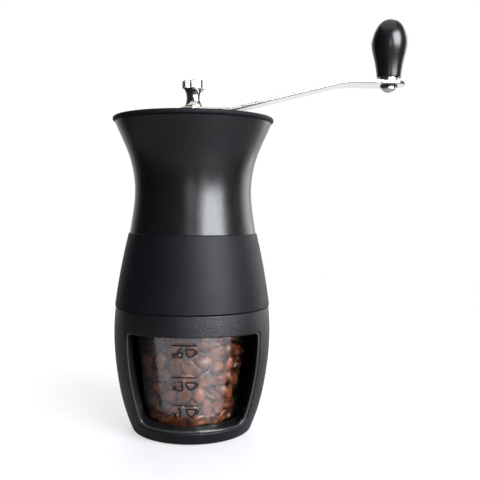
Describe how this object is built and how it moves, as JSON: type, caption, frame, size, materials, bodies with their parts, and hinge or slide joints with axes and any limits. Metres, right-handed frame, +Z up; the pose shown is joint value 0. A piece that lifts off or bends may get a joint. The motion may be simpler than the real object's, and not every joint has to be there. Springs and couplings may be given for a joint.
{
  "type": "hand crank coffee grinder",
  "caption": "Hourglass hand coffee grinder with a windowed catch cup, clear container, rubber grip, ceramic conical burrs, flared hopper, lid, steel crank arm and egg knob.",
  "frame": {"origin": "on the body's axis, at the plane the grinder stands on", "axes": "+Z up along the drive shaft; the window faces -Y; the crank arm lies along +X at rest"},
  "size_m": [0.1673, 0.09, 0.2348],
  "materials": {
    "cup_plastic": "fine textured matt black",
    "surround_plastic": "gloss black",
    "pad_rubber": "matt",
    "clear_plastic": "clear",
    "seal_silicone": "matt",
    "grip_rubber": "soft matt dark grey",
    "body_plastic": "moulded",
    "hopper_plastic": "gloss black",
    "lid_plastic": "satin black",
    "bush_plastic": "natural",
    "ceramic": "unglazed white",
    "carrier_plastic": "moulded",
    "steel": "turned",
    "polished_steel": "polished",
    "chrome": "mirror",
    "knob_plastic": "gloss black",
    "brass": "turned",
    "washer_black": "matt"
  },
  "bodies": {
    "cup": {"cup_shell": "cup_plastic", "window_surround": "surround_plastic", "base_pad": "pad_rubber"},
    "container": {"clear_container": "clear_plastic"},
    "seal": {"body_seal": "seal_silicone"},
    "mill": {"mill_body": "body_plastic", "grip_sleeve": "grip_rubber", "hopper": "hopper_plastic", "hopper_screws": "steel", "upper_bridge": "body_plastic", "upper_bush": "bush_plastic", "lower_bush": "bush_plastic", "ring_burr": "ceramic", "burr_retainer": "carrier_plastic", "retainer_screws": "steel"},
    "shaft": {"drive_shaft": "steel", "drive_collar": "carrier_plastic", "shaft_clip": "steel", "thrust_washer": "steel", "burr_spring": "steel"},
    "cone": {"cone_burr": "ceramic", "cone_carrier": "carrier_plastic", "detent_washer": "steel"},
    "adjuster": {"adjusting_nut": "carrier_plastic"},
    "lid": {"lid": "lid_plastic", "lid_grommet": "seal_silicone"},
    "crank": {"crank_arm": "polished_steel", "knob_pin": "polished_steel", "pin_washer": "washer_black", "pin_retainer": "steel", "knob_spacer": "polished_steel"},
    "knob": {"knob": "knob_plastic", "knob_bush": "brass"},
    "nut_carrier": {"nut_washer": "polished_steel"},
    "thumb_nut": {"thumb_nut": "chrome"}
  },
  "joints": [
    {"name": "body_lift", "type": "slide", "parent": "cup", "child": "seal", "axis": [0, 0, 1], "range_m": [0, 0.08]},
    {"name": "body_twist", "type": "hinge", "parent": "seal", "child": "mill", "pos_m": [0, 0, 0.0706], "axis": [0, 0, 1], "range_deg": [0, 60]},
    {"name": "container_lift", "type": "slide", "parent": "cup", "child": "container", "axis": [0, 0, 1], "range_m": [0, 0.04]},
    {"name": "crank_spin", "type": "hinge", "parent": "mill", "child": "shaft", "pos_m": [0, 0, 0.15], "axis": [0, 0, -1], "continuous": true},
    {"name": "burr_set", "type": "slide", "parent": "shaft", "child": "cone", "axis": [0, 0, -1], "range_m": [0, 0.002], "deforming": ["burr_spring"]},
    {"name": "adjust_turn", "type": "hinge", "parent": "cone", "child": "adjuster", "pos_m": [0, 0, 0.08], "axis": [0, 0, -1], "range_deg": [0, 720]},
    {"name": "lid_lift", "type": "slide", "parent": "mill", "child": "lid", "axis": [0, 0, 1], "range_m": [0, 0.006]},
    {"name": "crank_lift", "type": "slide", "parent": "shaft", "child": "crank", "axis": [0, 0, 1], "range_m": [0, 0.009]},
    {"name": "nut_lift", "type": "slide", "parent": "shaft", "child": "nut_carrier", "axis": [0, 0, 1], "range_m": [0, 0.012]},
    {"name": "nut_spin", "type": "hinge", "parent": "nut_carrier", "child": "thumb_nut", "pos_m": [0, 0, 0.185], "axis": [0, 0, 1], "range_deg": [0, 4320]},
    {"name": "knob_spin", "type": "hinge", "parent": "crank", "child": "knob", "pos_m": [0.112, 0, 0.21], "axis": [0, 0, 1], "continuous": true}
  ],
  "couplings": [
    {"joint": "body_twist", "follows": "body_lift", "rad_per_m": 13.09},
    {"joint": "container_lift", "follows": "body_lift", "ratio": 0.5},
    {"joint": "burr_set", "follows": "adjust_turn", "m_per_rad": 0.000159},
    {"joint": "crank_lift", "follows": "nut_lift", "ratio": 0.75},
    {"joint": "lid_lift", "follows": "nut_lift", "ratio": 0.5},
    {"joint": "nut_spin", "follows": "nut_lift", "rad_per_m": 6283.1}
  ]
}
